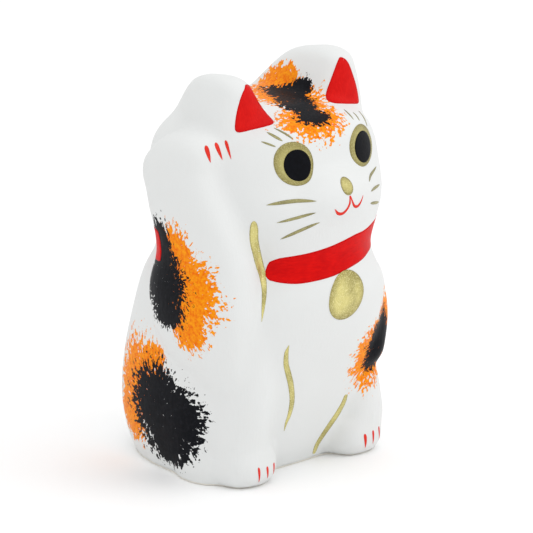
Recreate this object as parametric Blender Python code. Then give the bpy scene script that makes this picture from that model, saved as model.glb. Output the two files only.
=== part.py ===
"""Beckoning cat of moulded paper, about 12 cm tall.

Two pressed paper shells meet at an upright seam. Strips of thin paper lie in a shallow rebate over the
seam, a card board and a sheet of base paper close the bottom, and a lump of clay inside is the ballast.

Frame: +X is the cat's left, -Y its front, +Z up, and the origin is on the floor under the neck.
"""
import math
from collections import namedtuple

import bmesh
import bpy
from mathutils import Matrix, Vector

MM = 0.001  # every length below is in millimetres

# Driving dimensions
WALL = 2.0  # pressed paper with its chalk coat
STRIP_THICK = 0.4
STRIP_WIDTH = 12.0
GAP = 0.3  # air between neighbouring pieces
SEAM_Y = 2.0  # the plane where the two shells meet
SHEET_THICK = 0.5  # base paper
BOARD_THICK = 1.8
CLAY_HEIGHT = 9.0
BELOW = -5.0  # the form runs on this far under the floor before it is cut flat

# Fineness of the form
GRAIN = 1.2
SMOOTHING = 20
CAVITY_SMOOTHING = 4
OUTER_TRIANGLES = 2600
CAVITY_TRIANGLES = 1300
TORSO_SIDES = 64
TORSO_STEPS = 4
BLEND_STEPS = 5
STONE_SEGMENTS = 24
STONE_RINGS = 14

# Body and head as rounded-square sections, from the floor up
Section = namedtuple("Section", "height middle half_width front back square")
TORSO = (
    Section(BELOW, 2, 31.5, 15.5, 37, 2.6),
    Section(0, 2, 31.5, 15.5, 37, 2.6),
    Section(5, 2, 33.5, 18, 39.2, 2.6),
    Section(16, 2, 35.2, 22, 41.2, 2.6),
    Section(30, 1.5, 35, 27, 40.5, 2.6),
    Section(45, 0, 34, 32.5, 39.5, 2.4),
    Section(56, -1, 32, 34.5, 38, 2.3),
    Section(62, -1, 29, 34.5, 35.5, 2.2),
    Section(68, 0, 27.5, 33.5, 33, 2.2),
    Section(76, 0, 30.4, 34.5, 32.5, 2.2),
    Section(84, 0, 32.2, 35.8, 32.8, 2.2),
    Section(92, 0, 32.4, 31.4, 31, 2.4),
    Section(100, 0, 30.4, 29.8, 28.2, 2.5),
    Section(107, 0, 24, 27.4, 20.5, 2.5),
    Section(111, 0, 13, 15, 12, 2.0),
)

# Masses that are swept into limbs: a centre and three radii
ROUND = 2.0  # exponent of a true ellipsoid
SQUARED = 2.6  # exponent of a plumper one
Mass = namedtuple("Mass", "x y z rx ry rz")
FOREARM = (
    Mass(-26, -10.5, 37, 9, 13.5, 9),
    Mass(-28.4, -7.2, 46, 10.2, 17.4, 10),
    Mass(-29.2, -6.8, 56, 10.8, 19.8, 10),
    Mass(-29, -7.8, 66, 10, 17.9, 10),
    Mass(-30, -6.5, 76, 9.5, 16, 9),
    Mass(-31, -3, 86, 9.5, 14.5, 8.5),
    Mass(-31, -1, 94, 9.5, 13, 8),
)
HAND = (
    Mass(-31.4, 2, 93, 9, 11, 8),
    Mass(-31, -2.5, 97.5, 9, 11, 8),
    Mass(-29.8, -4.5, 99, 8.7, 9.5, 7.5),
)
RIGHT_LEG = (
    Mass(-22, -14, 46, 10, 13, 10),
    Mass(-22, -14, 30, 10, 12, 10),
    Mass(-22, -12, 14, 10, 11, 10),
)
LEFT_LEG = (
    Mass(23, -12, 22, 9, 10, 9),
    Mass(24, -12, 12, 9.5, 11, 9),
)
LEFT_ARM = (
    Mass(25, -12, 52, 8, 11, 10),
    Mass(26, -12, 42, 8.5, 11.5, 10),
    Mass(24, -13, 33, 8, 11.5, 8),
)
MUZZLE = (Mass(0, -23.5, 86, 18, 14.5, 11),)
FEET = (
    Mass(-21.2, -13, 6, 10, 10.8, 8),
    Mass(22, -12.5, 6, 9.8, 10.5, 8),
    Mass(-24.5, -4, 4, 10, 10, 9),
)

# An ear is a row of upright ribs from its steep front to the back of the head
Rib = namedtuple("Rib", "y depth top x width")
EAR = (
    Rib(-6.5, 9, 123.4, 20.8, 1.8),
    Rib(2, 8.5, 121.5, 19.2, 0.8),
    Rib(9, 8.5, 115.2, 17, 0.6),
    Rib(16, 8.5, 107.2, 14.5, 0.8),
    Rib(21, 8, 101.5, 12.5, 0.5),
)
# Each rib narrows upwards: how far under its top, half width, depth to add, and half height
Level = namedtuple("Level", "drop half_width deeper half_height")
RIB_LEVELS = (
    Level(30, 11.6, 2, 9),
    Level(20, 9.5, 1, 7.5),
    Level(12, 7.4, 0, 6),
    Level(4.5, 4, -1, 4.5),
)
EAR_LIFT = {-1: -2.0, 1: 0.0}  # the two ears aren't quite level
EAR_STEPS = 3
EAR_LEAN = 0.14  # how far an ear tips outwards for each unit that it rises

# Clay and the strips
CLAY = Mass(0, 9, 0, 19, 18, CLAY_HEIGHT)
CROWN_HALF = 8.0  # half the crown strip's length
STRIP_JOINTS = (42.0, 86.0)  # heights where one strip ends and the next begins
FAR = 80.0  # past the object on every side

# Finishes: linear colours
CHALK_WHITE = (0.86, 0.87, 0.87)
CHALK_ROUGHNESS = 0.45
PAPER_WHITE = (0.82, 0.81, 0.78)
PAPER_ROUGHNESS = 0.8
BOARD_GREY = (0.32, 0.28, 0.23)
CLAY_BROWN = (0.27, 0.17, 0.10)
CLAY_ROUGHNESS = 0.9
SHARP_ANGLE = 40.0  # degrees


def clear_scene():
    for item in list(bpy.data.objects):
        bpy.data.objects.remove(item)


# ---------------------------------------------------------------- meshes


def modified(mesh, kind, **settings):
    """The mesh after one modifier with these settings."""
    holder = bpy.data.objects.new("holder", mesh)
    bpy.context.scene.collection.objects.link(holder)
    modifier = holder.modifiers.new(kind.title(), kind)
    for name, value in settings.items():
        setattr(modifier, name, value)
    graph = bpy.context.evaluated_depsgraph_get()
    result = bpy.data.meshes.new_from_object(holder.evaluated_get(graph))
    bpy.data.objects.remove(holder)
    return result


def combined(mesh, other, operation):
    """A Boolean of two closed meshes."""
    cutter = bpy.data.objects.new("cutter", other)
    bpy.context.scene.collection.objects.link(cutter)
    result = modified(mesh, "BOOLEAN", object=cutter, operation=operation, solver="EXACT")
    bpy.data.objects.remove(cutter)
    return result


def finished(work, name):
    """Turns a bmesh into a mesh and frees it."""
    mesh = bpy.data.meshes.new(name)
    work.to_mesh(mesh)
    work.free()
    return mesh


def sliced(mesh, axis, place, keep):
    """The part of a closed mesh past a plane, on its keep side (-1 or 1), closed flat."""
    normal = Vector((0, 0, 0))
    normal[axis] = keep
    work = bmesh.new()
    work.from_mesh(mesh)
    everything = work.verts[:] + work.edges[:] + work.faces[:]
    bmesh.ops.bisect_plane(work, geom=everything, plane_co=normal * keep * place * MM, plane_no=normal,
                           clear_inner=True)
    rim = [edge for edge in work.edges if edge.is_boundary]
    bmesh.ops.holes_fill(work, edges=rim, sides=0)
    bmesh.ops.recalc_face_normals(work, faces=work.faces)
    return finished(work, mesh.name)


def slab(mesh, axis, low, high):
    """The part of a closed mesh between two parallel planes."""
    return sliced(sliced(mesh, axis, low, 1), axis, high, -1)


def inset(mesh, depth):
    """The mesh with its surface moved inwards."""
    return modified(mesh, "DISPLACE", strength=-depth * MM, mid_level=0.0)


def box(low, high):
    """A cuboid between two corners."""
    low = Vector(low) * MM
    high = Vector(high) * MM
    size = Matrix.Diagonal((high - low).to_4d())
    work = bmesh.new()
    bmesh.ops.create_cube(work, size=1, matrix=Matrix.Translation((low + high) / 2) @ size)
    return finished(work, "box")


# ---------------------------------------------------------------- form


def between(rows, steps):
    """The rows with steps - 1 more in each gap, along a Catmull-Rom curve."""
    last = len(rows) - 1
    kind = type(rows[0])
    blended = []
    for index in range(last):
        around = [rows[max(index - 1, 0)], rows[index], rows[index + 1], rows[min(index + 2, last)]]
        for step in range(steps):
            blended.append(kind(*(catmull_rom(values, step / steps) for values in zip(*around))))
    return blended + [rows[-1]]


def catmull_rom(values, t):
    a, b, c, d = values
    return b + 0.5 * t * (c - a + t * (2 * a - 5 * b + 4 * c - d + t * (3 * (b - c) + d - a)))


def section_point(section, angle):
    """A point of a rounded-square section; angle 0 is at +X."""
    across = math.cos(angle)
    along = math.sin(angle)
    power = 2 / section.square
    reach = section.back if along > 0 else section.front
    x = section.half_width * math.copysign(abs(across) ** power, across)
    y = section.middle + reach * math.copysign(abs(along) ** power, along)
    return Vector((x, y, section.height)) * MM


def torso_mesh():
    """Lofts the sections: a grid is rolled up, its seam joined and its ends closed."""
    rows = between(TORSO, TORSO_STEPS)
    gaps = len(rows) - 1
    work = bmesh.new()
    grid = bmesh.ops.create_grid(work, x_segments=TORSO_SIDES, y_segments=gaps, size=0.5)
    for vert in grid["verts"]:
        row = rows[round((vert.co.y + 0.5) * gaps)]
        vert.co = section_point(row, math.tau * (vert.co.x + 0.5))
    bmesh.ops.remove_doubles(work, verts=grid["verts"], dist=0.01 * MM)
    ends = [edge for edge in work.edges if edge.is_boundary]
    bmesh.ops.holes_fill(work, edges=ends, sides=0)
    return finished(work, "torso")


def pebble(square):
    """A unit ball that is squared up as the exponent grows past 2."""
    work = bmesh.new()
    bmesh.ops.create_uvsphere(work, u_segments=STONE_SEGMENTS, v_segments=STONE_RINGS, radius=1)
    for vert in work.verts:
        vert.co /= sum(abs(value) ** square for value in vert.co) ** (1 / square)
    return finished(work, "pebble")


def add_masses(work, masses, stone):
    """A copy of the stone at each mass."""
    for mass in masses:
        radii = Vector((mass.rx, mass.ry, mass.rz))
        place = Matrix.Translation(Vector((mass.x, mass.y, mass.z)) * MM)
        first = len(work.verts)
        work.from_mesh(stone)
        work.verts.ensure_lookup_table()
        shape = place @ Matrix.Diagonal((radii * MM).to_4d())
        bmesh.ops.transform(work, matrix=shape, verts=work.verts[first:])


def ear_masses(side):
    """The masses of one ear: side is -1 on the cat's right and 1 on its left."""
    masses = []
    for rib in between(EAR, EAR_STEPS):
        top = rib.top + EAR_LIFT[side]
        for level in between(RIB_LEVELS, EAR_STEPS):
            x = side * (rib.x - EAR_LEAN * level.drop)
            half_width = level.half_width + rib.width
            depth = rib.depth + level.deeper
            masses.append(Mass(x, rib.y, top - level.drop, half_width, depth, level.half_height))
    return masses


def form_mesh():
    """The cat's whole outside: overlapping masses fused into one skin and softened."""
    round_stone = pebble(ROUND)
    square_stone = pebble(SQUARED)
    work = bmesh.new()
    work.from_mesh(torso_mesh())
    for side in (-1, 1):
        add_masses(work, ear_masses(side), square_stone)
    for limb in (FOREARM, HAND):
        add_masses(work, between(limb, BLEND_STEPS), square_stone)
    add_masses(work, MUZZLE, round_stone)
    for limb in (RIGHT_LEG, LEFT_LEG, LEFT_ARM):
        add_masses(work, between(limb, BLEND_STEPS), round_stone)
    add_masses(work, FEET, square_stone)
    bmesh.ops.recalc_face_normals(work, faces=work.faces)
    fused = modified(finished(work, "form"), "REMESH", mode="VOXEL", voxel_size=GRAIN * MM)
    return modified(fused, "SMOOTH", factor=0.5, iterations=SMOOTHING)


def simplified(mesh, triangles):
    """The mesh with about this many triangles."""
    count = sum(len(face.vertices) - 2 for face in mesh.polygons)
    return modified(mesh, "DECIMATE", ratio=triangles / count, use_collapse_triangulate=True)


def cavity_mesh(form):
    """The hollow: the form moved in by the wall, fused again so that it doesn't cross itself."""
    fused = modified(inset(form, WALL), "REMESH", mode="VOXEL", voxel_size=GRAIN * MM)
    return simplified(modified(fused, "SMOOTH", factor=0.5, iterations=CAVITY_SMOOTHING), CAVITY_TRIANGLES)


# ---------------------------------------------------------------- pieces


def shell_mesh(outside, core, cavity, side):
    """One moulded half: side -1 is the front and 1 the back. Its rebate for the strips is the core's skin."""
    rebate_edge = SEAM_Y + side * (STRIP_WIDTH / 2 + GAP)
    full = sliced(outside, 1, rebate_edge, side)
    lip = sliced(core, 1, SEAM_Y + side * GAP / 2, side)
    solid = sliced(combined(full, lip, "UNION"), 2, SHEET_THICK + GAP, 1)
    return combined(solid, cavity, "DIFFERENCE")


def seam_band_mesh(outside):
    """The whole arch of seam paper, before it is parted into strips."""
    under = inset(outside, STRIP_THICK)
    band = slab(outside, 1, SEAM_Y - STRIP_WIDTH / 2, SEAM_Y + STRIP_WIDTH / 2)
    return combined(sliced(band, 2, SHEET_THICK + GAP, 1), under, "DIFFERENCE")


def strip_boxes():
    """The cuboids that part the band: up one side, over the crown and down the other."""
    low, high = STRIP_JOINTS
    half = GAP / 2
    boxes = {"crown_strip": ((-CROWN_HALF + half, -FAR, high), (CROWN_HALF - half, FAR, 2 * FAR))}
    for side, arm in ((-1, "right"), (1, "left")):
        spans = {
            "flank": (0, side * FAR, 0, low - half),
            "shoulder": (0, side * FAR, low + half, high - half),
            "ear": (side * (CROWN_HALF + half), side * FAR, high + half, 2 * FAR),
        }
        for place, (near, far, bottom, top) in spans.items():
            corners = ((min(near, far), -FAR, bottom), (max(near, far), FAR, top))
            boxes[f"{arm}_{place}_strip"] = corners
    return boxes


def board_mesh(cavity):
    """The card board: it fills the cavity's mouth with a gap all round."""
    bottom = SHEET_THICK + 2 * GAP
    return slab(inset(cavity, GAP), 2, bottom, bottom + BOARD_THICK)


def clay_mesh():
    """A domed lump of clay that lies on the board."""
    floor = SHEET_THICK + 3 * GAP + BOARD_THICK
    work = bmesh.new()
    work.from_mesh(pebble(ROUND))
    place = Matrix.Translation(Vector((CLAY.x, CLAY.y, floor)) * MM)
    radii = Vector((CLAY.rx, CLAY.ry, CLAY.rz)) * MM
    bmesh.ops.transform(work, matrix=place @ Matrix.Diagonal(radii.to_4d()), verts=work.verts)
    return sliced(finished(work, "clay"), 2, floor, 1)


def painted(name, colour, roughness):
    """A plain Principled material."""
    material = bpy.data.materials.new(name)
    material.use_nodes = True
    shader = material.node_tree.nodes["Principled BSDF"]
    shader.inputs["Base Color"].default_value = (*colour, 1)
    shader.inputs["Roughness"].default_value = roughness
    shader.inputs["Metallic"].default_value = 0.0
    return material


def add_piece(name, mesh, colour, roughness):
    """A named object in the scene, smooth but for its cut edges."""
    mesh.name = name
    mesh.materials.clear()
    mesh.materials.append(painted(f"{name}_finish", colour, roughness))
    mesh.shade_smooth()
    mesh.set_sharp_from_angle(angle=math.radians(SHARP_ANGLE))
    piece = bpy.data.objects.new(name, mesh)
    bpy.context.scene.collection.objects.link(piece)


def main():
    clear_scene()
    form = form_mesh()
    outside = simplified(form, OUTER_TRIANGLES)
    core = inset(outside, STRIP_THICK + GAP)
    cavity = cavity_mesh(form)
    add_piece("front_shell", shell_mesh(outside, core, cavity, -1), CHALK_WHITE, CHALK_ROUGHNESS)
    add_piece("back_shell", shell_mesh(outside, core, cavity, 1), CHALK_WHITE, CHALK_ROUGHNESS)
    band = seam_band_mesh(outside)
    for name, (low, high) in strip_boxes().items():
        add_piece(name, combined(band, box(low, high), "INTERSECT"), PAPER_WHITE, PAPER_ROUGHNESS)
    add_piece("base_paper", slab(outside, 2, 0, SHEET_THICK), PAPER_WHITE, PAPER_ROUGHNESS)
    add_piece("base_board", board_mesh(cavity), BOARD_GREY, PAPER_ROUGHNESS)
    add_piece("clay_ballast", clay_mesh(), CLAY_BROWN, CLAY_ROUGHNESS)


if __name__ == "__main__":
    main()
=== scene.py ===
"""The looks of a beckoning cat of moulded paper, about 12 cm tall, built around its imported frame.

The figure is one hollow skin of pressed paper under a white chalk coat. Its markings are thin films of
paint that lie on the coat, and the brush-dabbed coat spots are part of the skin's own finish. The base
paper, the card board and the clay ballast are the frame's own nodes with better finishes.

Lengths are in millimetres unless a name says otherwise. +X is the cat's left, -Y its front, +Z up.
"""

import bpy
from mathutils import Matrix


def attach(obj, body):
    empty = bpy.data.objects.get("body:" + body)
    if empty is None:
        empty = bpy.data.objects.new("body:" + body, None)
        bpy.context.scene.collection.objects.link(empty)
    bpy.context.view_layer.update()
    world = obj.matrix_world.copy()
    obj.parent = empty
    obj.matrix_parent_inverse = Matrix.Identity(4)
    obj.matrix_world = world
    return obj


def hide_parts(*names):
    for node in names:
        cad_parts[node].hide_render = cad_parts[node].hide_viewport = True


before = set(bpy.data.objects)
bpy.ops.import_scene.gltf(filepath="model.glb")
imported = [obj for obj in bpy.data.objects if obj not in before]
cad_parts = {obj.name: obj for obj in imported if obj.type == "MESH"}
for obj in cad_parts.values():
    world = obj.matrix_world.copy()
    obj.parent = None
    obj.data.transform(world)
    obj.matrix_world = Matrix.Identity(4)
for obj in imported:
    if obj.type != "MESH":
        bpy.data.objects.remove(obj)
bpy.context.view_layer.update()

import copy
import logging
import math
from collections.abc import Callable, Iterable, Mapping
from dataclasses import dataclass, field
from enum import Enum
from typing import NamedTuple

import bmesh
import bpy
from bmesh.types import BMesh
from bpy.types import Material, Mesh, NodeSocket, Object
from mathutils import Matrix, Vector
from mathutils.bvhtree import BVHTree

MM = 0.001
ROOT = "root"
FAR = 150.0  # outside the figure on every side
RIM = "rim"  # the films' attribute
WELD = 0.01  # vertices nearer than this are one
SLIVER = 0.001  # edges shorter than this go
LOG = logging.getLogger("beckoning_cat")

Colour = tuple[float, float, float]
Triple = tuple[float, float, float]
Place = Callable[[float, float], Vector]


class Side(Enum):
    """The cat's own right and left."""

    RIGHT = -1
    LEFT = 1


# ---- meshes


def finished(work: BMesh, name: str) -> Mesh:
    """Turns a bmesh into a mesh and frees it.

    Args:
        work: The bmesh, which can't be used afterwards.
        name: The mesh's name.

    Returns:
        The new mesh.
    """
    mesh = bpy.data.meshes.new(name)
    work.to_mesh(mesh)
    work.free()
    return mesh


def modified(mesh: Mesh, kind: str, **settings: object) -> Mesh:
    """Applies one modifier to a mesh.

    Args:
        mesh: The mesh to start from.
        kind: The modifier's type.
        **settings: Values for the modifier's own settings.

    Returns:
        A new mesh, as the modifier leaves it.
    """
    holder = bpy.data.objects.new("holder", mesh)
    bpy.context.scene.collection.objects.link(holder)
    modifier = holder.modifiers.new(kind.title(), kind)
    for name, value in settings.items():
        setattr(modifier, name, value)
    graph = bpy.context.evaluated_depsgraph_get()
    result = bpy.data.meshes.new_from_object(holder.evaluated_get(graph))
    bpy.data.objects.remove(holder)
    return result


def joined(meshes: Iterable[Mesh], name: str) -> Mesh:
    """Puts several meshes into one.

    Args:
        meshes: The meshes to gather.
        name: The new mesh's name.

    Returns:
        One mesh that holds them all.
    """
    work = bmesh.new()
    for mesh in meshes:
        work.from_mesh(mesh)
    return finished(work, name)


def blended(values: tuple[float, float, float, float], t: float) -> float:
    """A Catmull-Rom value between the middle two of four, at share t of the way."""
    a, b, c, d = values
    return b + 0.5 * t * (c - a + t * (2 * a - 5 * b + 4 * c - d + t * (3 * (b - c) + d - a)))


def along(rows: tuple, share: float, closed: bool = False) -> list[float]:
    """Reads a smooth curve through rows of numbers.

    Args:
        rows: Rows that all have the same length.
        share: How far along, from 0 to 1.
        closed: Whether the last row is followed by the first.

    Returns:
        The row at that share.
    """
    count = len(rows)
    gaps = count if closed else count - 1
    index = min(int(share * gaps), gaps - 1)
    t = share * gaps - index
    around = [index + step for step in (-1, 0, 1, 2)]
    if closed:
        around = [place % count for place in around]
    else:
        around = [min(max(place, 0), count - 1) for place in around]
    return [blended(values, t) for values in zip(*(rows[place] for place in around))]


def between(rows: tuple, steps: int) -> list:
    """The rows with steps - 1 more in each gap, along a smooth curve."""
    total = (len(rows) - 1) * steps
    return [type(rows[0])(*along(rows, step / total)) for step in range(total)] + [rows[-1]]


# ---- the moulded form


class Section(NamedTuple):
    """A rounded-square slice through the body: the exponent squares it up past 2."""

    height: float
    middle: float
    half_width: float
    front: float
    back: float
    square: float

    def point(self, angle: float) -> Vector:
        """A point of the outline; angle 0 is at +X."""
        across = math.cos(angle)
        back = math.sin(angle)
        power = 2 / self.square
        reach = self.back if back > 0 else self.front
        x = self.half_width * math.copysign(abs(across) ** power, across)
        y = self.middle + reach * math.copysign(abs(back) ** power, back)
        return Vector((x, y, self.height)) * MM


class Mass(NamedTuple):
    """A pebble of the form: its centre and three radii."""

    x: float
    y: float
    z: float
    rx: float
    ry: float
    rz: float


class Dab(Mass):
    """One press of a loaded brush: its centre and its reach along each axis."""


class Rib(NamedTuple):
    """One upright slice of an ear, from its steep front to the back of the head."""

    y: float
    depth: float
    top: float
    x: float
    width: float


class Level(NamedTuple):
    """A step down a rib: how far under its top, half width, depth to add, and half height."""

    drop: float
    half_width: float
    deeper: float
    half_height: float


@dataclass
class MouldedForm:
    """The cat's whole outside as one closed skin: a lofted body with fused, softened limbs."""

    torso: tuple[Section, ...] = (
        Section(-5, 2, 31.5, 15.5, 37, 2.6),
        Section(0, 2, 31.5, 15.5, 37, 2.6),
        Section(5, 2, 33.5, 18, 39.2, 2.6),
        Section(16, 2, 35.2, 22, 41.2, 2.6),
        Section(30, 1.5, 35, 27, 40.5, 2.6),
        Section(45, 0, 34, 32.5, 39.5, 2.4),
        Section(56, -1, 32, 34.5, 38, 2.3),
        Section(62, -1, 29, 34.5, 35.5, 2.2),
        Section(68, 0, 27.5, 33.5, 33, 2.2),
        Section(76, 0, 30.4, 34.5, 32.5, 2.2),
        Section(84, 0, 32.2, 35.8, 32.8, 2.2),
        Section(92, 0, 32.4, 31.4, 31, 2.4),
        Section(100, 0, 30.4, 29.8, 28.2, 2.5),
        Section(107, 0, 24, 27.4, 20.5, 2.5),
        Section(111, 0, 13, 15, 12, 2.0),
    )
    forearm: tuple[Mass, ...] = (
        Mass(-26, -10.5, 37, 9, 13.5, 9),
        Mass(-28.4, -7.2, 46, 10.2, 17.4, 10),
        Mass(-29.2, -6.8, 56, 10.8, 19.8, 10),
        Mass(-29, -7.8, 66, 10, 17.9, 10),
        Mass(-30, -6.5, 76, 9.5, 16, 9),
        Mass(-31, -3, 86, 9.5, 14.5, 8.5),
        Mass(-31, -1, 94, 9.5, 13, 8),
    )
    hand: tuple[Mass, ...] = (
        Mass(-31.4, 2, 93, 9, 11, 8),
        Mass(-31, -2.5, 97.5, 9, 11, 8),
        Mass(-29.8, -4.5, 99, 8.7, 9.5, 7.5),
    )
    right_leg: tuple[Mass, ...] = (
        Mass(-22, -14, 46, 10, 13, 10),
        Mass(-22, -14, 30, 10, 12, 10),
        Mass(-22, -12, 14, 10, 11, 10),
    )
    left_leg: tuple[Mass, ...] = (
        Mass(23, -12, 22, 9, 10, 9),
        Mass(24, -12, 12, 9.5, 11, 9),
    )
    left_arm: tuple[Mass, ...] = (
        Mass(25, -12, 52, 8, 11, 10),
        Mass(26, -12, 42, 8.5, 11.5, 10),
        Mass(24, -13, 33, 8, 11.5, 8),
    )
    feet: tuple[Mass, ...] = (
        Mass(-21.2, -13, 6, 10, 10.8, 8),
        Mass(22, -12.5, 6, 9.8, 10.5, 8),
        Mass(-24.5, -4, 4, 10, 10, 9),
    )
    muzzle: tuple[Mass, ...] = (Mass(0, -23.5, 86, 18, 14.5, 11),)
    ear_ribs: tuple[Rib, ...] = (
        Rib(-6.5, 9, 123.4, 20.8, 1.8),
        Rib(2, 8.5, 121.5, 19.2, 0.8),
        Rib(9, 8.5, 115.2, 17, 0.6),
        Rib(16, 8.5, 107.2, 14.5, 0.8),
        Rib(21, 8, 101.5, 12.5, 0.5),
    )
    rib_levels: tuple[Level, ...] = (
        Level(30, 11.6, 2, 9),
        Level(20, 9.5, 1, 7.5),
        Level(12, 7.4, 0, 6),
        Level(4.5, 4, -1, 4.5),
    )
    right_ear_drop: float = 2.0
    ear_lean: float = 0.14
    sides: int = 64
    loft_steps: int = 4
    limb_steps: int = 5
    ear_steps: int = 3
    round_power: float = 2.0
    squared_power: float = 2.6
    stone_segments: int = 24
    stone_rings: int = 14
    grain: float = 1.0
    softness: float = 0.5
    smoothing: int = 29

    def torso_mesh(self) -> Mesh:
        """Lofts the sections: a grid is rolled up, its seam joined and its ends closed."""
        rows = between(self.torso, self.loft_steps)
        gaps = len(rows) - 1
        work = bmesh.new()
        grid = bmesh.ops.create_grid(work, x_segments=self.sides, y_segments=gaps, size=0.5)
        for vert in grid["verts"]:
            row = rows[round((vert.co.y + 0.5) * gaps)]
            vert.co = row.point(math.tau * (vert.co.x + 0.5))
        bmesh.ops.remove_doubles(work, verts=grid["verts"], dist=WELD * MM)
        ends = [edge for edge in work.edges if edge.is_boundary]
        bmesh.ops.holes_fill(work, edges=ends, sides=0)
        return finished(work, "torso")

    def pebble(self, power: float) -> Mesh:
        """A unit ball that is squared up as the power grows past 2."""
        work = bmesh.new()
        segments, rings = self.stone_segments, self.stone_rings
        bmesh.ops.create_uvsphere(work, u_segments=segments, v_segments=rings, radius=1)
        for vert in work.verts:
            vert.co /= sum(abs(value) ** power for value in vert.co) ** (1 / power)
        return finished(work, "pebble")

    def ear_masses(self, side: Side) -> list[Mass]:
        """The masses of one ear.

        Args:
            side: Which ear.

        Returns:
            Pebbles from the front rib to the back one, each rib from its foot to its tip.
        """
        lift = -self.right_ear_drop if side is Side.RIGHT else 0.0
        masses = []
        for rib in between(self.ear_ribs, self.ear_steps):
            for level in between(self.rib_levels, self.ear_steps):
                x = side.value * (rib.x - self.ear_lean * level.drop)
                z = rib.top + lift - level.drop
                width = level.half_width + rib.width
                masses.append(Mass(x, rib.y, z, width, rib.depth + level.deeper, level.half_height))
        return masses

    def add_masses(self, work: BMesh, masses: Iterable[Mass], stone: Mesh) -> None:
        """Adds a copy of the stone at each mass.

        Args:
            work: The bmesh that grows.
            masses: Where the copies go, and how large they are.
            stone: The unit pebble.
        """
        for mass in masses:
            place = Matrix.Translation(Vector((mass.x, mass.y, mass.z)) * MM)
            radii = Vector((mass.rx, mass.ry, mass.rz)) * MM
            first = len(work.verts)
            work.from_mesh(stone)
            work.verts.ensure_lookup_table()
            shape = place @ Matrix.Diagonal(radii.to_4d())
            bmesh.ops.transform(work, matrix=shape, verts=work.verts[first:])

    def skin(self) -> Mesh:
        """The closed skin, which runs on a little under the floor."""
        round_stone = self.pebble(self.round_power)
        squared_stone = self.pebble(self.squared_power)
        work = bmesh.new()
        work.from_mesh(self.torso_mesh())
        for side in Side:
            self.add_masses(work, self.ear_masses(side), squared_stone)
        for limb in (self.forearm, self.hand):
            self.add_masses(work, between(limb, self.limb_steps), squared_stone)
        self.add_masses(work, self.muzzle, round_stone)
        for limb in (self.right_leg, self.left_leg, self.left_arm):
            self.add_masses(work, between(limb, self.limb_steps), round_stone)
        self.add_masses(work, self.feet, squared_stone)
        bmesh.ops.recalc_face_normals(work, faces=work.faces)
        fused = modified(finished(work, "skin"), "REMESH", mode="VOXEL", voxel_size=self.grain * MM)
        return modified(fused, "SMOOTH", factor=self.softness, iterations=self.smoothing)


# ---- paint films


@dataclass(frozen=True)
class Chart:
    """A flat sheet in front of the cat that marks are laid out on and pressed back from.

    Across runs to the cat's left, up runs upwards, and both are measured from the figure's axis.
    """

    facing: float = 0.0  # degrees round from the front, towards the cat's left
    tilt: float = 0.0  # degrees that the sheet looks upwards

    def axes(self) -> tuple[Vector, Vector, Vector]:
        """The directions across, up and out of the sheet."""
        facing = math.radians(self.facing)
        tilt = math.radians(self.tilt)
        out = Vector((math.sin(facing) * math.cos(tilt), -math.cos(facing) * math.cos(tilt), math.sin(tilt)))
        across = Vector((math.cos(facing), math.sin(facing), 0))
        return across, out.cross(across), out


class Canvas:
    """The chalked skin as something to paint on."""

    def __init__(self, skin: Mesh, lift: float = 0.07) -> None:
        """Keeps the skin's faces for finding the nearest place on them.

        Args:
            skin: The closed skin.
            lift: How far a film's top lies over the skin.
        """
        points = [vert.co.copy() for vert in skin.vertices]
        self.tree = BVHTree.FromPolygons(points, [tuple(face.vertices) for face in skin.polygons])
        self.lift = lift

    def lifted(self, extra: float) -> "Canvas":
        """The same canvas for paint that lies over other paint."""
        upper = copy.copy(self)
        upper.lift = self.lift + extra
        return upper

    def pressed(self, start: Vector, direction: Vector, reach: float = FAR) -> Vector:
        """Presses a point onto the skin.

        Args:
            start: A point outside the skin, in metres.
            direction: The way to press.
            reach: How far it may go before it takes the nearest place instead, in millimetres.

        Returns:
            The place a film's lift above the skin, in metres.
        """
        spot, normal, _, _ = self.tree.ray_cast(start, direction, reach * MM)
        if spot is None:
            spot, normal, _, _ = self.tree.find_nearest(start + direction * reach * MM)
        return spot + normal * self.lift * MM

    def on(self, chart: Chart, across: float, up: float, limit: float = -FAR) -> Vector:
        """The place on the skin behind a point of a chart.

        Args:
            chart: The sheet that the point is on.
            across: Its place across the sheet.
            up: Its place up the sheet.
            limit: How far out of the axis the sheet's backstop stands; the nearest place is taken there.

        Returns:
            The place in metres.
        """
        right, top, out = chart.axes()
        start = (right * across + top * up + out * FAR) * MM
        return self.pressed(start, -out, FAR - limit)


@dataclass
class Film:
    """A thin closed film of paint, made from a grid whose every point has a place."""

    columns: int
    rows: int
    place: Place
    centred: bool = False  # whether the rows run out from a middle point, and not across a stroke
    merge: float = 0.02

    def mesh(self) -> Mesh:
        """The film's top as an open sheet, with an attribute that is 0 in its middle and 1 at its rim."""
        work = bmesh.new()
        layer = work.verts.layers.float.new(RIM)
        grid = bmesh.ops.create_grid(work, x_segments=self.columns, y_segments=self.rows, size=0.5)
        for vert in grid["verts"]:
            share = vert.co.y + 0.5
            vert[layer] = share if self.centred else abs(2 * share - 1)
            vert.co = self.place(vert.co.x + 0.5, share)
        bmesh.ops.remove_doubles(work, verts=work.verts, dist=self.merge * MM)
        bmesh.ops.dissolve_degenerate(work, edges=work.edges, dist=SLIVER * MM)
        bmesh.ops.recalc_face_normals(work, faces=work.faces)
        return finished(work, "film")


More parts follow.
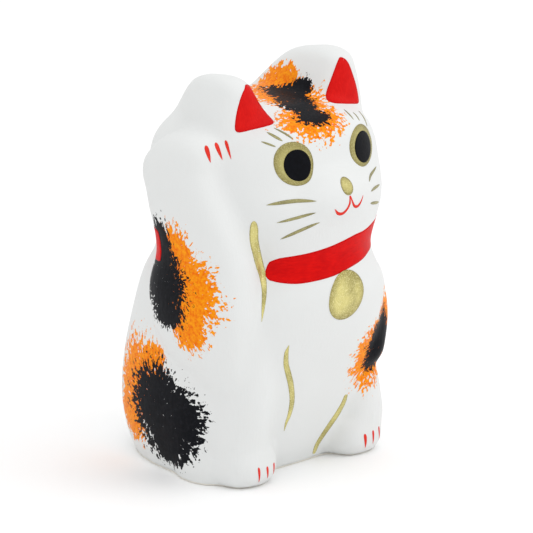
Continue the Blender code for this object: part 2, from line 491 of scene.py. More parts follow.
@dataclass
class Stroke:
    """A brush stroke: rows of across, up and width from its start to its end."""

    path: tuple[Triple, ...]
    chart: Chart = Chart()
    fineness: float = 0.55
    least_columns: int = 12
    least_rows: int = 4
    look_ahead: float = 0.01  # share of the path over which its heading is read

    def film(self, canvas: Canvas) -> Film:
        """The stroke's film on a canvas."""
        length = sum(math.dist(a[:2], b[:2]) for a, b in zip(self.path, self.path[1:]))
        columns = max(self.least_columns, round(length / self.fineness))
        rows = max(self.least_rows, round(max(row[2] for row in self.path) / self.fineness))

        def place(share: float, side: float) -> Vector:
            """The place at a share along the stroke and a share across it."""
            x, y, width = along(self.path, share)
            ahead = along(self.path, min(share + self.look_ahead, 1.0))
            behind = along(self.path, max(share - self.look_ahead, 0.0))
            heading = Vector((ahead[0] - behind[0], ahead[1] - behind[1])).normalized()
            offset = max(width, 0.0) * (side - 0.5)
            return canvas.on(self.chart, x - heading.y * offset, y + heading.x * offset)

        return Film(columns, rows, place)


@dataclass
class Patch:
    """A filled shape with a smooth closed outline of across, up rows."""

    outline: tuple[tuple[float, float], ...]
    chart: Chart = Chart()
    limit: float = -FAR
    sectors: int = 72
    rings: int = 10

    def film(self, canvas: Canvas) -> Film:
        """The shape's film on a canvas."""
        count = len(self.outline)
        middle = [sum(values) / count for values in zip(*self.outline)]

        def place(turn: float, share: float) -> Vector:
            """The place at a share of a turn and a share of the way from the middle to the outline."""
            edge = along(self.outline, turn % 1.0, closed=True)
            x = middle[0] + share * (edge[0] - middle[0])
            y = middle[1] + share * (edge[1] - middle[1])
            return canvas.on(self.chart, x, y, self.limit)

        return Film(self.sectors, self.rings, place, centred=True)


OVAL_POINTS = 16


def oval(x: float, y: float, rx: float, ry: float, turn: float = 0.0, heavy: float = 0.0) -> tuple:
    """The outline of an oval.

    Args:
        x: Across, at its centre.
        y: Up, at its centre.
        rx: Half its width.
        ry: Half its height.
        turn: Degrees that it leans, anticlockwise.
        heavy: How much wider its lower half is, as a share.

    Returns:
        Rows of across and up, for a Patch.
    """
    lean = Matrix.Rotation(math.radians(turn), 2)
    rows = []
    for step in range(OVAL_POINTS):
        angle = math.tau * step / OVAL_POINTS
        width = rx * (1 - heavy * math.sin(angle))
        point = Vector((x, y)) + lean @ Vector((width * math.cos(angle), ry * math.sin(angle)))
        rows.append(tuple(point))
    return tuple(rows)


# ---- finishes


MATT = 0.07  # specular level of dry paint


class Recipe:
    """Grows one material's nodes around a Principled shader. Patterns are in millimetres."""

    def __init__(self, name: str) -> None:
        """Starts a material with this name."""
        self.material = bpy.data.materials.new(name)
        self.material.use_nodes = True
        self.tree = self.material.node_tree
        self.shader = self.tree.nodes["Principled BSDF"]
        coordinates = self.tree.nodes.new("ShaderNodeTexCoord")
        self.place = self.vector("MULTIPLY", coordinates.outputs["Object"], (1 / MM,) * 3)

    def add(self, kind: str, inputs: Mapping, output: int | str = 0, **settings: object) -> NodeSocket:
        """Adds a node.

        Args:
            kind: The node's type.
            inputs: Values or sockets for its inputs, by name or number.
            output: Which output to return.
            **settings: The node's own settings.

        Returns:
            The chosen output socket.
        """
        node = self.tree.nodes.new(kind)
        for name, value in settings.items():
            setattr(node, name, value)
        for name, value in inputs.items():
            if isinstance(value, NodeSocket):
                self.tree.links.new(value, node.inputs[name])
            else:
                node.inputs[name].default_value = value
        return node.outputs[output]

    def math(self, operation: str, first: object, second: object = 0.0) -> NodeSocket:
        """A sum of two numbers."""
        return self.add("ShaderNodeMath", {0: first, 1: second}, operation=operation)

    def vector(self, operation: str, first: object, second: object = (0, 0, 0)) -> NodeSocket:
        """A sum of two vectors."""
        return self.add("ShaderNodeVectorMath", {0: first, 1: second}, operation=operation)

    def rim(self, start: float) -> NodeSocket:
        """How near a film's rim a place is: 0 up to the start, and 1 at the rim."""
        nearness = self.add("ShaderNodeAttribute", {}, output="Fac", attribute_name=RIM)
        return self.remap(nearness, start, 1.0, smooth=True)

    def stretched(self, factors: Triple) -> NodeSocket:
        """The object's place in millimetres, times a factor on each axis."""
        return self.vector("MULTIPLY", self.place, factors)

    def noise(self, scale: float, detail: float = 2.0, rough: float = 0.5, place: object = None,
              twist: float = 0.0) -> NodeSocket:
        """Cloudy noise from 0 to 1.

        Args:
            scale: Clouds to a millimetre.
            detail: How many finer layers it has.
            rough: How strong the finer layers are.
            place: The vector to read it at, or None for the object's place.
            twist: How much it is warped.

        Returns:
            The noise's value.
        """
        vector = self.place if place is None else place
        inputs = {"Vector": vector, "Scale": scale, "Detail": detail, "Roughness": rough}
        return self.add("ShaderNodeTexNoise", inputs | {"Distortion": twist})

    def remap(self, value: object, low: float, high: float, start: float = 0.0, end: float = 1.0,
              smooth: bool = False) -> NodeSocket:
        """Spreads a range of a value onto another range, held at both ends."""
        inputs = {"Value": value, "From Min": low, "From Max": high, "To Min": start, "To Max": end}
        kind = "SMOOTHSTEP" if smooth else "LINEAR"
        return self.add("ShaderNodeMapRange", inputs, interpolation_type=kind)

    def average(self, first: object, second: object, share: float) -> NodeSocket:
        """An average of two numbers, with a share of the first and the rest of the second."""
        rest = self.math("MULTIPLY", second, 1 - share)
        return self.math("ADD", self.math("MULTIPLY", first, share), rest)

    def blend(self, share: object, first: object, second: object) -> NodeSocket:
        """A colour between two colours."""
        inputs = {0: share, 6: self.full(first), 7: self.full(second)}
        return self.add("ShaderNodeMix", inputs, output=2, data_type="RGBA")

    @staticmethod
    def full(colour: object) -> object:
        """A colour with its alpha, or the socket as it is."""
        return colour if isinstance(colour, NodeSocket) else (*colour, 1.0)

    def wear(self, colour: object, roughness: object, height: object = None, depth: float = 0.0,
             **fixed: float) -> Material:
        """Connects the pattern to the shader.

        Args:
            colour: The base colour.
            roughness: The roughness.
            height: A height for the bump, or None.
            depth: The bump's depth in millimetres.
            **fixed: Values for other sockets of the shader, with _ for a space.

        Returns:
            The finished material.
        """
        links = self.tree.links
        links.new(colour, self.shader.inputs["Base Color"])
        links.new(roughness, self.shader.inputs["Roughness"])
        if height is not None:
            bump = self.add("ShaderNodeBump", {"Height": height, "Distance": depth * MM, "Strength": 1.0})
            links.new(bump, self.shader.inputs["Normal"])
        for name, value in fixed.items():
            self.shader.inputs[name.replace("_", " ")].default_value = value
        return self.material


@dataclass(frozen=True)
class Spot:
    """A dabbed coat spot: orange under black, breaking up into flecks that point away from its hub."""

    hub: Triple
    orange: tuple[Dab, ...]
    black: tuple[Dab, ...]


@dataclass(frozen=True)
class ChalkCoat:
    """Matt white chalk with brush marks, and the coat spots dabbed on it."""

    white: Colour = (0.735, 0.748, 0.744)
    warm_white: Colour = (0.72, 0.73, 0.722)
    orange: Colour = (0.78, 0.125, 0.0)
    yellow_orange: Colour = (0.92, 0.33, 0.004)
    black: Colour = (0.0035, 0.004, 0.006)
    grey_black: Colour = (0.009, 0.0095, 0.013)
    orange_fineness: float = 9.0
    black_fineness: float = 9.5
    fleck_pull: float = 0.42  # flecks to a millimetre going outwards from a hub
    wander: float = 0.25  # how far a spot's edge strays, as a share of its dabs' reach
    fade: tuple[float, float] = (-0.70, 0.46)  # depths between which flecks thicken into solid paint
    sparse: float = 0.80
    solid: float = 0.32
    fleck_share: float = 0.68
    fleck_edge: tuple[float, float] = (-0.012, 0.02)
    roughness: tuple[float, float] = (0.46, 0.60)
    relief: float = 0.07
    brush_relief: float = 0.5
    pore_relief: float = 0.25
    paint_gloss: float = 0.08
    spots: tuple[Spot, ...] = (
        Spot(  # raised arm
            (-38, -4, 63),
            (
                Dab(-37, -10.5, 60, 13, 11.5, 13), Dab(-37, -5.5, 70, 13, 8, 10),
                Dab(-36, -11, 50, 13, 7.5, 8),
            ),
            (
                Dab(-37, 0.5, 61, 13, 11.5, 10), Dab(-38, 1.5, 71, 11, 5, 10),
                Dab(-38, -1.5, 52.5, 11, 8, 5),
            ),
        ),
        Spot(  # haunch
            (-34, 8, 21),
            (Dab(-31, 17, 25.5, 14, 13.5, 14), Dab(-34, 11, 34, 12, 7, 6), Dab(-31, 22, 15, 12, 9, 9)),
            (Dab(-34, 8.5, 21, 14, 13, 13.5), Dab(-34, -2, 19, 12, 9, 11), Dab(-34, 4, 11, 12, 11, 8)),
        ),
        Spot(  # crown
            (2, -8, 99),
            (Dab(3, -6, 110, 9, 17, 8), Dab(10, 5, 113, 5, 10, 6), Dab(-2, -22, 107, 11, 8, 8)),
            (
                Dab(5, -4, 112, 5, 9, 5), Dab(8, -6, 114, 4, 5, 5), Dab(3, -10, 111, 5.5, 6, 5),
                Dab(0, -15, 110, 5.5, 7, 6), Dab(-1, -22, 108, 5.5, 5, 6),
            ),
        ),
        Spot(  # left arm
            (24, -23, 34),
            (Dab(23, -24, 34, 11, 11, 12.5), Dab(27, -22, 43, 7, 8, 7), Dab(29, -14, 38, 8, 12, 11)),
            (Dab(25, -23.5, 36.5, 6.5, 9, 9.5), Dab(23, -22, 31, 4.5, 8, 5)),
        ),
    )

    def cover(self, recipe: Recipe, dabs: tuple[Dab, ...]) -> NodeSocket:
        """How deep inside its dabs a place is: 1 at a centre, 0 at an edge, and less outside."""
        depth = None
        for dab in dabs:
            offset = recipe.vector("SUBTRACT", recipe.place, tuple(dab[:3]))
            share = recipe.vector("DIVIDE", offset, tuple(dab[3:]))
            length = recipe.add("ShaderNodeVectorMath", {0: share}, output="Value", operation="LENGTH")
            inside = recipe.math("SUBTRACT", 1.0, length)
            depth = inside if depth is None else recipe.math("MAXIMUM", depth, inside)
        return depth

    def flecks(self, recipe: Recipe, hub: Triple, fineness: float) -> NodeSocket:
        """Noise whose grains stretch away from a hub.

        Args:
            recipe: The material's recipe.
            hub: The point that the grains point away from.
            fineness: How fine the grains are round the hub.

        Returns:
            The noise's value.
        """
        offset = recipe.vector("SUBTRACT", recipe.place, hub)
        reach = recipe.add("ShaderNodeVectorMath", {0: offset}, output="Value", operation="LENGTH")
        around = recipe.math("DIVIDE", fineness, recipe.math("ADD", reach, 1.0))
        scale = recipe.math("ADD", around, self.fleck_pull)
        place = recipe.add("ShaderNodeVectorMath", {0: offset, "Scale": scale}, operation="SCALE")
        return recipe.noise(1.0, 2.5, 0.6, place)

    def layer(self, recipe: Recipe, hub: Triple, dabs: tuple[Dab, ...], fineness: float) -> NodeSocket:
        """Where one colour of a spot lies, from 0 to 1.

        Args:
            recipe: The material's recipe.
            hub: The point that the spot's flecks point away from.
            dabs: The dabs of this colour.
            fineness: How fine the flecks are.

        Returns:
            The cover of the colour.
        """
        stray = recipe.remap(recipe.noise(0.22, 1.0), 0.0, 1.0, -self.wander, self.wander)
        depth = recipe.math("ADD", self.cover(recipe, dabs), stray)
        threshold = recipe.remap(depth, *self.fade, self.sparse, self.solid)
        grain = self.flecks(recipe, hub, fineness)
        mixed = recipe.average(grain, recipe.noise(0.9, 2.0, 0.65), self.fleck_share)
        over = recipe.math("SUBTRACT", mixed, threshold)
        return recipe.remap(over, *self.fleck_edge, smooth=True)

    def material(self) -> Material:
        """The coat's material."""
        recipe = Recipe("white_chalk_coat")
        tone = recipe.noise(0.08, 3.0, 0.6)
        brush = recipe.noise(1.0, 3.0, 0.55, recipe.stretched((1.6, 1.6, 0.25)))
        colour = recipe.blend(tone, self.white, self.warm_white)
        orange_cover = black_cover = None
        for spot in self.spots:
            orange = self.layer(recipe, spot.hub, spot.orange, self.orange_fineness)
            black = self.layer(recipe, spot.hub, spot.black, self.black_fineness)
            orange_cover = orange if orange_cover is None else recipe.math("MAXIMUM", orange_cover, orange)
            black_cover = black if black_cover is None else recipe.math("MAXIMUM", black_cover, black)
        mottle = recipe.remap(recipe.noise(0.9, 4.0, 0.7), 0.34, 0.62)
        orange = recipe.blend(mottle, self.orange, self.yellow_orange)
        streak = recipe.remap(recipe.noise(1.0, 3.0, 0.6, recipe.stretched((2.2, 0.9, 0.9))), 0.45, 0.75)
        black = recipe.blend(streak, self.black, self.grey_black)
        colour = recipe.blend(orange_cover, colour, orange)
        colour = recipe.blend(black_cover, colour, black)
        paint = recipe.math("MAXIMUM", orange_cover, black_cover)
        chalk_rough = recipe.remap(brush, 0.3, 0.7, *self.roughness)
        roughness = recipe.math("SUBTRACT", chalk_rough, recipe.math("MULTIPLY", paint, self.paint_gloss))
        pores = recipe.noise(3.5, 3.0, 0.6)
        raised = recipe.math("MULTIPLY", recipe.math("ADD", brush, paint), self.brush_relief)
        height = recipe.math("ADD", raised, recipe.math("MULTIPLY", pores, self.pore_relief))
        return recipe.wear(colour, roughness, height, self.relief, Specular_IOR_Level=MATT)


@dataclass(frozen=True)
class BrushedPaint:
    """Opaque colour with faint strokes, a little darker where it pools at a film's rim."""

    name: str
    colour: Colour
    deep: Colour
    gloss: float = 0.42
    strokes: Triple = (0.5, 0.5, 2.0)
    stroke_share: float = 0.6
    relief: float = 0.05
    rim_start: float = 0.8
    pooling: float = 0.6

    def material(self) -> Material:
        """The paint's material."""
        recipe = Recipe(self.name)
        strokes = recipe.noise(1.0, 4.0, 0.6, recipe.stretched(self.strokes))
        cloud = recipe.noise(0.25, 2.0, 0.5)
        share = recipe.average(strokes, cloud, self.stroke_share)
        colour = recipe.blend(recipe.remap(share, 0.35, 0.65), self.deep, self.colour)
        pooled = recipe.math("MULTIPLY", recipe.rim(self.rim_start), self.pooling)
        colour = recipe.blend(pooled, colour, self.deep)
        roughness = recipe.remap(strokes, 0.3, 0.7, self.gloss, self.gloss + 0.12)
        return recipe.wear(colour, roughness, strokes, self.relief, Specular_IOR_Level=MATT)


@dataclass(frozen=True)
class GoldPaint:
    """Olive gold with bright flakes and darker, thinner places; its darker rim is partly pooled paint and
    partly painted shade where the gold turns from the light.
    """

    name: str = "olive_gold_paint"
    gold: Colour = (0.64, 0.57, 0.20)
    olive: Colour = (0.37, 0.32, 0.095)
    flake: Colour = (0.86, 0.80, 0.42)
    # rim: the darker colour at the films' edges, partly pooled paint and partly painted shade; also the
    # colour of the dust specks
    rim: Colour = (0.26, 0.215, 0.05)
    rim_start: float = 0.62
    pooling: float = 0.75
    flake_share: float = 0.75
    dust_share: float = 0.35
    relief: float = 0.035
    metallic: float = 0.5

    def material(self) -> Material:
        """The gold's material."""
        recipe = Recipe(self.name)
        cloud = recipe.remap(recipe.noise(0.17, 2.0, 0.5), 0.30, 0.60)
        grain = recipe.noise(3.4, 2.0, 0.75)
        colour = recipe.blend(cloud, self.olive, self.gold)
        # painted shade: the films' edges darken towards the rim colour, standing in for the gold's sheen
        # falling off as well as pooled paint
        pooled = recipe.math("MULTIPLY", recipe.rim(self.rim_start), self.pooling)
        colour = recipe.blend(pooled, colour, self.rim)
        flakes = recipe.remap(grain, 0.50, 0.66)
        colour = recipe.blend(recipe.math("MULTIPLY", flakes, self.flake_share), colour, self.flake)
        dust = recipe.remap(recipe.noise(2.1, 3.0, 0.8), 0.56, 0.72)
        colour = recipe.blend(recipe.math("MULTIPLY", dust, self.dust_share), colour, self.rim)
        roughness = recipe.remap(grain, 0.3, 0.7, 0.50, 0.34)
        return recipe.wear(colour, roughness, grain, self.relief, Metallic=self.metallic)


@dataclass(frozen=True)
class PlainSheet:
    """Fibrous paper, card or clay for what lies under the figure."""

    name: str
    light: Colour
    dark: Colour
    roughness: float
    fibre: Triple
    depth: float
    fibre_share: float = 0.65

    def material(self) -> Material:
        """The sheet's material."""
        recipe = Recipe(self.name)
        fibres = recipe.noise(1.0, 5.0, 0.7, recipe.stretched(self.fibre), twist=0.4)
        cloud = recipe.noise(0.12, 2.0, 0.5)
        share = recipe.average(fibres, cloud, self.fibre_share)
        colour = recipe.blend(recipe.remap(share, 0.35, 0.65), self.dark, self.light)
        roughness = recipe.remap(fibres, 0.3, 0.7, self.roughness, self.roughness + 0.1)
        return recipe.wear(colour, roughness, fibres, self.depth)


RED = BrushedPaint("collar_red", (0.70, 0.004, 0.003), (0.54, 0.001, 0.002), 0.38)
EAR_RED = BrushedPaint("ear_red", (0.68, 0.009, 0.007), (0.56, 0.004, 0.004), 0.42, (2.0, 2.0, 0.5))
CORAL = BrushedPaint("coral_red", (0.76, 0.05, 0.03), (0.66, 0.03, 0.02), 0.45, (2.0, 2.0, 0.6))
BLACK = BrushedPaint("pupil_black", (0.004, 0.0045, 0.007), (0.002, 0.002, 0.003), 0.36, (1.0, 1.0, 1.0))
GOLD = GoldPaint()
SOFT_GOLD = GoldPaint(
    "soft_gold_paint", (0.46, 0.41, 0.145), (0.33, 0.285, 0.09), (0.60, 0.55, 0.26), (0.20, 0.165, 0.045),
)
THIN_GOLD = GoldPaint(
    "thin_gold_paint", (0.33, 0.30, 0.13), (0.19, 0.175, 0.075), (0.50, 0.46, 0.24), (0.14, 0.13, 0.05),
)
BASE_SHEET = PlainSheet(
    "base_paper_fibre", (0.80, 0.78, 0.72), (0.70, 0.67, 0.60), 0.75, (0.5, 2.5, 2.5), 0.06,
)
CARD = PlainSheet("grey_card", (0.38, 0.33, 0.27), (0.27, 0.23, 0.18), 0.82, (1.5, 0.4, 3.0), 0.08)
CLAY = PlainSheet("raw_clay", (0.34, 0.22, 0.13), (0.22, 0.13, 0.08), 0.85, (0.8, 0.8, 0.8), 0.35)


# ---- pieces


def add_piece(name: str, mesh: Mesh, material: Material) -> Object:
    """Adds a smooth piece that rides on the root body.

    Args:
        name: The piece's name.
        mesh: Its mesh, in place.
        material: Its finish.

    Returns:
        The new object.
    """
    mesh.name = name
    mesh.materials.clear()
    mesh.materials.append(material)
    mesh.shade_smooth()
    piece = bpy.data.objects.new(name, mesh)
    bpy.context.scene.collection.objects.link(piece)
    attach(piece, ROOT)
    LOG.info("%s: %d faces", name, len(mesh.polygons))
    return piece


@dataclass
class Figure:
    """The hollow skin of chalked paper, which stands for both shells and the seam strips."""

    form: MouldedForm = field(default_factory=MouldedForm)
    coat: ChalkCoat = ChalkCoat()
    wall: float = 2.0
    rim: float = 0.52

    def build(self, skin: Mesh) -> Object:
        """Cuts the skin open at the bottom, gives it a wall and dresses it.

        Args:
            skin: The closed skin.

        Returns:
            The figure's piece.
        """
        work = bmesh.new()
        work.from_mesh(skin)
        everything = work.verts[:] + work.edges[:] + work.faces[:]
        floor = Vector((0, 0, self.rim * MM))
        bmesh.ops.bisect_plane(work, geom=everything, plane_co=floor, plane_no=(0, 0, -1), clear_outer=True)
        piece = add_piece("paper_figure", finished(work, "paper_figure"), self.coat.material())
        wall = piece.modifiers.new("Wall", "SOLIDIFY")
        wall.thickness = self.wall * MM
        wall.offset = -1
        nodes = [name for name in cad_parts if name.endswith(("_shell", "_strip"))]
        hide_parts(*nodes)
        return piece


@dataclass
class PaintedMarks:
    """One colour's marks, as thin films on the canvas."""

    name: str
    finish: BrushedPaint | GoldPaint
    shapes: tuple[Stroke | Patch, ...]
    over: float = 0.0
    thickness: float = 0.2

    def build(self, canvas: Canvas) -> Object:
        """Lays the films on the canvas and dresses them.

        Args:
            canvas: The skin to paint on.

        Returns:
            The marks' piece.
        """
        upper = canvas.lifted(self.over)
        films = [self.oriented(shape.film(upper).mesh(), canvas) for shape in self.shapes]
        return self.dressed(joined(films, self.name))

    def dressed(self, mesh: Mesh) -> Object:
        """Adds the films as a piece and gives them their thickness, inwards."""
        piece = add_piece(self.name, mesh, self.finish.material())
        body = piece.modifiers.new("Thickness", "SOLIDIFY")
        body.thickness = self.thickness * MM
        body.offset = -1
        return piece

    @staticmethod
    def oriented(mesh: Mesh, canvas: Canvas) -> Mesh:
        """Turns a film's faces outwards, as the skin under it faces."""
        votes = 0.0
        for face in mesh.polygons:
            _, normal, _, _ = canvas.tree.find_nearest(face.center)
            votes += face.normal.dot(normal)
        if votes < 0:
            mesh.flip_normals()
        return mesh


@dataclass
class Collar:
    """The red band round the neck, from the raised arm round the front and the back to the arm again."""

    edges: tuple[Triple, ...] = (  # degrees round from the front, upper edge, lower edge
        (-41, 66.6, 65.4),
        (-39.5, 69.2, 64.2),
        (-34, 70.6, 63.5),
        (-26, 71.3, 63.1),
        (-17, 72, 63.4),
        (-6, 73, 64),
        (2, 73.9, 64.8),
        (9, 74.6, 65.4),
        (17, 74.8, 66),
        (26, 75.6, 66.8),
        (45, 76, 67.2),
        (90, 76.4, 67),
        (150, 76, 66.4),
        (200, 76, 66),
        (240, 76.4, 66.2),
        (262, 76.6, 66.6),
        (266, 76, 67.2),
        (267, 73, 70),
    )
    axis_y: float = 0.0
    columns: int = 300
    rows: int = 14

    def build(self, canvas: Canvas) -> Object:
        """Lays the band on the canvas.

        Args:
            canvas: The skin to paint on.

        Returns:
            The band's piece.
        """
        start = self.edges[0][0]
        sweep = self.edges[-1][0] - start

        def place(share: float, side: float) -> Vector:
            """The place at a share of the sweep and a share up the band."""
            turn = start + sweep * share
            upper, lower = self.edge_heights(turn)
            angle = math.radians(turn)
            out = Vector((math.sin(angle), -math.cos(angle), 0))
            height = lower + (upper - lower) * side
            origin = Vector((0, self.axis_y, height)) * MM + out * FAR * MM
            return canvas.pressed(origin, -out)

        marks = PaintedMarks("collar_band", RED, ())
        sheet = Film(self.columns, self.rows, place).mesh()
        return marks.dressed(marks.oriented(sheet, canvas))

    def edge_heights(self, turn: float) -> tuple[float, float]:
        """The heights of the band's two edges at a turn round from the front, in degrees."""
        last = len(self.edges) - 1
        for index, (first, second) in enumerate(zip(self.edges, self.edges[1:])):
            if turn <= second[0] or index == last - 1:
                share = min(max((turn - first[0]) / (second[0] - first[0]), 0.0), 1.0)
                row = along(self.edges, (index + share) / last)
                return row[1], row[2]
        return self.edges[-1][1], self.edges[-1][2]


BROW = Chart(0.0, 40.0)
ARM = Chart(-42.0)
PAW = Chart(-30.0)
FINE = 0.3  # fineness of the small marks
EAR_LIMIT = 8.0  # the ear paint goes no further back than this in front of the axis


# How a stroke swells: shares of its length and of its full width
TAPER = ((0.0, 0.0), (0.12, 0.6), (0.3, 0.93), (0.5, 1.0), (0.7, 0.93), (0.88, 0.6), (1.0, 0.0))
CLAW_TAPER = ((0.0, 0.2), (0.08, 0.8), (0.25, 1.0), (0.55, 0.8), (0.8, 0.45), (1.0, 0.04))


def tapered(start: tuple[float, float], middle: tuple[float, float], end: tuple[float, float],
            width: float, tip: float = 0.05) -> tuple[Triple, ...]:
    """A stroke that swells to its width in the middle and runs out to fine tips.

    Args:
        start: Across and up at its start.
        middle: The same halfway.
        end: The same at its end.
        width: Its width in the middle.
        tip: Its width at both tips.

    Returns:
        The rows for a Stroke.
    """
    rows = []
    for share, swell in TAPER:
        first = (1 - share) * (1 - 2 * share)
        second = 4 * share * (1 - share)
        third = share * (2 * share - 1)
        x, y = (first * a + second * b + third * c for a, b, c in zip(start, middle, end))
        rows.append((x, y, tip + (width - tip) * swell))
    return tuple(rows)


def claw(x: float, top: float, foot: tuple[float, float], width: float) -> tuple[Triple, ...]:
    """A claw: a round-topped stroke that runs down to a point at its foot."""
    rows = []
    for share, swell in CLAW_TAPER:
        rows.append((x + (foot[0] - x) * share, top + (foot[1] - top) * share, width * swell))
    return tuple(rows)


def all_marks() -> list[PaintedMarks]:
    """Every film of paint but the collar, from the ears down."""
    right_ear = (
        (-17.8, 119.5), (-19.3, 119), (-21.3, 117), (-23.1, 113), (-24.2, 108.8),
        (-24.1, 107.2), (-22.9, 106.9), (-20, 107.4), (-16.4, 108), (-13.4, 108.6),
        (-12.2, 109.6), (-12, 111.4), (-12.6, 114.4), (-15.1, 118),
    )
    left_ear = (
        (18.7, 121.4), (17.2, 120.2), (15.8, 118), (13.9, 114.7), (11.9, 111.3),
        (11.3, 110.2), (12.1, 109.5), (15.4, 108.8), (20, 107.8), (23.1, 107.2),
        (24, 108.1), (23.5, 112), (22.1, 116.2), (20.5, 120),
    )
    mouth = (
        (
            (-0.1, 88.1, 0.3), (-0.4, 86, 0.6), (-1.2, 84.3, 0.75),
            (-2.6, 83.2, 0.9), (-4.2, 83.5, 0.85), (-5.5, 85, 0.15),
        ),
        (
            (0.1, 88.1, 0.3), (0.7, 86.2, 0.6), (1.7, 84.7, 0.75),
            (3, 84.3, 0.85), (4.2, 85, 0.7), (5.6, 87, 0.15),
        ),
    )
    whiskers = (
        tapered((-22.6, 87.3), (-16.6, 88.1), (-10.5, 87.9), 1.05),
        tapered((-20.5, 82.1), (-15.7, 83.4), (-10.8, 84.5), 0.85),
        tapered((-19, 76.8), (-14.5, 79.4), (-9.3, 81.3), 1.0),
        tapered((11.1, 89.4), (15, 90.1), (19.8, 91), 0.8),
        tapered((11.1, 86.7), (14.8, 86.4), (19.2, 86.1), 0.8),
        tapered((11, 83), (14.2, 82.2), (18, 81.2), 0.9),
    )
    brows = (
        tapered((-20.3, 66.4), (-19.1, 64.8), (-17.7, 63.2), 0.5),
        tapered((-17.5, 68.5), (-16.7, 66.2), (-15.5, 64), 0.8),
        tapered((-14.9, 69), (-13.9, 66.2), (-12.5, 63.3), 0.6),
        tapered((12.6, 69.5), (12.2, 67.2), (12, 64.8), 0.55),
        tapered((14.9, 67.8), (14.9, 66), (14.7, 64.3), 0.5),
        tapered((19.3, 68.6), (18.9, 65.8), (18.3, 62.9), 0.65),
    )
    limb_lines = (
        (  # raised arm
            (-2.7, 82.4, 0.5), (-2.7, 81.7, 1.6), (-2.7, 79.9, 2.4), (-2.7, 76.6, 2.5),
            (-2, 72.9, 2.3), (-1.1, 68.9, 2.1), (-0.3, 65.9, 1.9), (0.2, 62.4, 1.5),
            (0.2, 59.7, 1.25), (-0.1, 56.4, 0.85), (-0.5, 52.6, 0.1),
        ),
        (  # right leg
            (7.4, 44.5, 0.15), (6.8, 42.6, 1.0), (6.6, 41, 1.3), (6.6, 37.9, 1.5),
            (7.3, 34.2, 1.65), (8, 30.3, 1.6), (8.4, 25.5, 1.45), (8.2, 22.2, 1.35),
            (7.5, 18.8, 1.05), (6.7, 16.5, 0.7), (6.1, 13.8, 0.1),
        ),
        (  # left foot
            (24.6, 20.2, 0.7), (24.4, 19.5, 1.1), (23.6, 17.1, 1.4), (21.9, 14, 1.65),
            (19.9, 11.1, 1.65), (17.9, 8.2, 1.5), (16.1, 5.2, 1.35), (15.2, 2.4, 1.0),
            (15.0, 1.6, 0.6),
        ),
    )
    paw_claws = (
        claw(-22.6, 103.9, (-21.5, 99.2), 1.3),
        claw(-19.5, 104.3, (-17.8, 99.5), 1.15),
        claw(-16.5, 104.8, (-15.4, 99.8), 0.9),
    )
    foot_claws = (
        claw(-23, 6.8, (-22.2, 1.8), 0.8),
        claw(-19.7, 6.4, (-18.8, 2.2), 0.8),
        claw(-16.4, 6.6, (-15.8, 2.6), 0.8),
        claw(20.3, 7, (21.1, 2.2), 1.0),
        claw(23.6, 7.4, (24.1, 2.9), 0.8),
        claw(26.5, 7.8, (27.4, 3.4), 0.7),
    )
    bell = oval(0.9, 57.3, 6.9, 7.5, 0, 0.06)
    return [
        PaintedMarks("ear_red", EAR_RED, tuple(Patch(ear, limit=EAR_LIMIT) for ear in (right_ear, left_ear))),
        PaintedMarks("eye_gold", SOFT_GOLD, (
            Patch(oval(-13.4, 98.3, 5.9, 6.2, -4)),
            Patch(oval(13, 98.9, 6.1, 5.9)),
        )),
        PaintedMarks("eye_black", BLACK, (
            Patch(oval(-12.6, 97.8, 4.15, 4.5, -4)),
            Patch(oval(13.5, 98.4, 4.3, 4.5)),
        ), 0.08),
        PaintedMarks("nose_gold", SOFT_GOLD, (Patch(oval(-0.1, 90.7, 2.1, 2.4, -12)),)),
        PaintedMarks("mouth_red", CORAL, tuple(Stroke(path, fineness=FINE) for path in mouth)),
        PaintedMarks("whisker_gold", THIN_GOLD, tuple(Stroke(path) for path in whiskers)),
        PaintedMarks("brow_gold", THIN_GOLD, tuple(Stroke(path, BROW) for path in brows)),
        PaintedMarks("limb_gold", GOLD, tuple(Stroke(path, ARM) for path in limb_lines)),
        PaintedMarks("bell_gold", GOLD, (Patch(bell, rings=14),), 0.08),
        PaintedMarks("paw_claws", CORAL, tuple(Stroke(path, PAW, FINE) for path in paw_claws)),
        PaintedMarks("foot_claws", CORAL, tuple(Stroke(path, fineness=FINE) for path in foot_claws)),
    ]


# ---- studio


class Lamp(NamedTuple):
    """A square soft light: where it stands and its side, in metres, and its power in watts."""

    name: str
    place: Triple
    size: float
    power: float


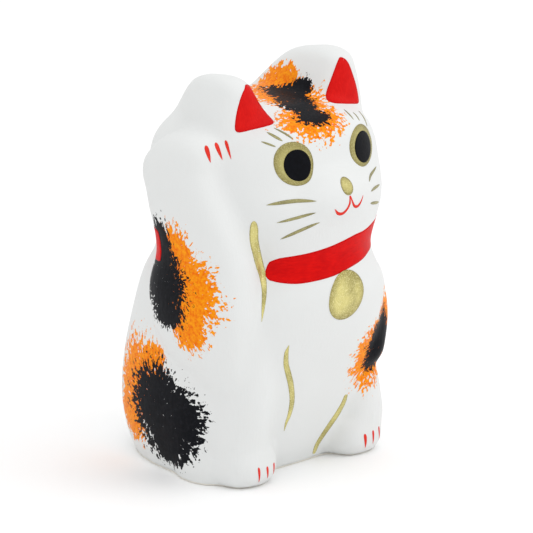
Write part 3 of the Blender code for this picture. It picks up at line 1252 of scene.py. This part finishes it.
@dataclass
class Studio:
    """A plain pale floor, a bright surround and soft lights."""

    floor_half: float = 3.0
    floor_light: Colour = (0.98, 0.98, 0.98)
    floor_shade: Colour = (0.965, 0.965, 0.965)
    surround: Colour = (1.0, 1.0, 1.0)
    surround_strength: float = 0.96
    drop: float = 0.1  # the floor lies this far under the figure
    lamps: tuple[Lamp, ...] = (
        Lamp("key", (0.75, -0.85, 0.85), 0.7, 2.9),
        Lamp("top", (-0.1, -0.1, 1.2), 1.0, 2.2),
    )
    target: Triple = (0, 0, 0.06)

    def floor(self) -> None:
        """The floor the cat stands on."""
        work = bmesh.new()
        bmesh.ops.create_grid(work, x_segments=8, y_segments=8, size=self.floor_half)
        bmesh.ops.translate(work, verts=work.verts, vec=(0, 0, -self.drop * MM))
        mesh = finished(work, "studio_floor")
        recipe = Recipe("studio_white")
        cloud = recipe.noise(0.01, 2.0, 0.5)
        colour = recipe.blend(cloud, self.floor_shade, self.floor_light)
        mesh.materials.append(recipe.wear(colour, recipe.remap(cloud, 0.0, 1.0, 0.7, 0.8)))
        floor = bpy.data.objects.new("studio_floor", mesh)
        bpy.context.scene.collection.objects.link(floor)

    def world(self) -> None:
        """The white surround."""
        world = bpy.data.worlds.new("surround")
        world.use_nodes = True
        background = world.node_tree.nodes["Background"]
        background.inputs["Color"].default_value = (*self.surround, 1.0)
        background.inputs["Strength"].default_value = self.surround_strength
        bpy.context.scene.world = world

    def light(self, lamp: Lamp) -> None:
        """Adds a lamp that looks at the figure's middle.

        Args:
            lamp: The lamp's place and power.
        """
        light = bpy.data.lights.new(lamp.name, "AREA")
        light.shape = "SQUARE"
        light.size = lamp.size
        light.energy = lamp.power
        holder = bpy.data.objects.new(lamp.name, light)
        holder.location = lamp.place
        gaze = Vector(self.target) - Vector(lamp.place)
        holder.rotation_euler = gaze.to_track_quat("-Z", "Y").to_euler()
        bpy.context.scene.collection.objects.link(holder)

    def build(self) -> None:
        """Sets the floor, the surround and the lights."""
        self.floor()
        self.world()
        for lamp in self.lamps:
            self.light(lamp)
        bpy.context.scene.view_settings.view_transform = "Standard"


@dataclass
class Viewpoint:
    """The camera: it looks a little down on the cat's front right."""

    azimuth: float = -42.0
    elevation: float = 17.0
    distance: float = 1400.0
    height: float = 60.0
    lens: float = 319.8
    shift_x: float = 0.0058
    shift_y: float = -0.0107
    sensor: float = 36.0
    clip: tuple[float, float] = (0.05, 20.0)  # metres

    def build(self) -> None:
        """Adds the camera and makes it the scene's own."""
        azimuth = math.radians(self.azimuth)
        elevation = math.radians(self.elevation)
        level = math.cos(elevation)
        out = Vector((math.sin(azimuth) * level, -math.cos(azimuth) * level, math.sin(elevation)))
        camera = bpy.data.cameras.new("camera")
        camera.lens = self.lens
        camera.sensor_width = self.sensor
        camera.shift_x = self.shift_x
        camera.shift_y = self.shift_y
        camera.clip_start, camera.clip_end = self.clip
        holder = bpy.data.objects.new("camera", camera)
        holder.location = Vector((0, 0, self.height)) * MM + out * self.distance * MM
        holder.rotation_euler = out.to_track_quat("Z", "Y").to_euler()
        bpy.context.scene.collection.objects.link(holder)
        bpy.context.scene.camera = holder


def dress_nodes() -> None:
    """Gives the frame's own visible nodes their finishes."""
    for name, finish in (("base_paper", BASE_SHEET), ("base_board", CARD), ("clay_ballast", CLAY)):
        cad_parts[name].material_slots[0].material = finish.material()


def main() -> None:
    """Builds the cat, its marks, the studio and the camera."""
    logging.basicConfig(level=logging.INFO, format="%(name)s %(message)s")
    figure = Figure()
    skin = figure.form.skin()
    canvas = Canvas(skin)
    figure.build(skin)
    Collar().build(canvas)
    for marks in all_marks():
        marks.build(canvas)
    dress_nodes()
    Studio().build()
    Viewpoint().build()


if __name__ == "__main__":
    main()
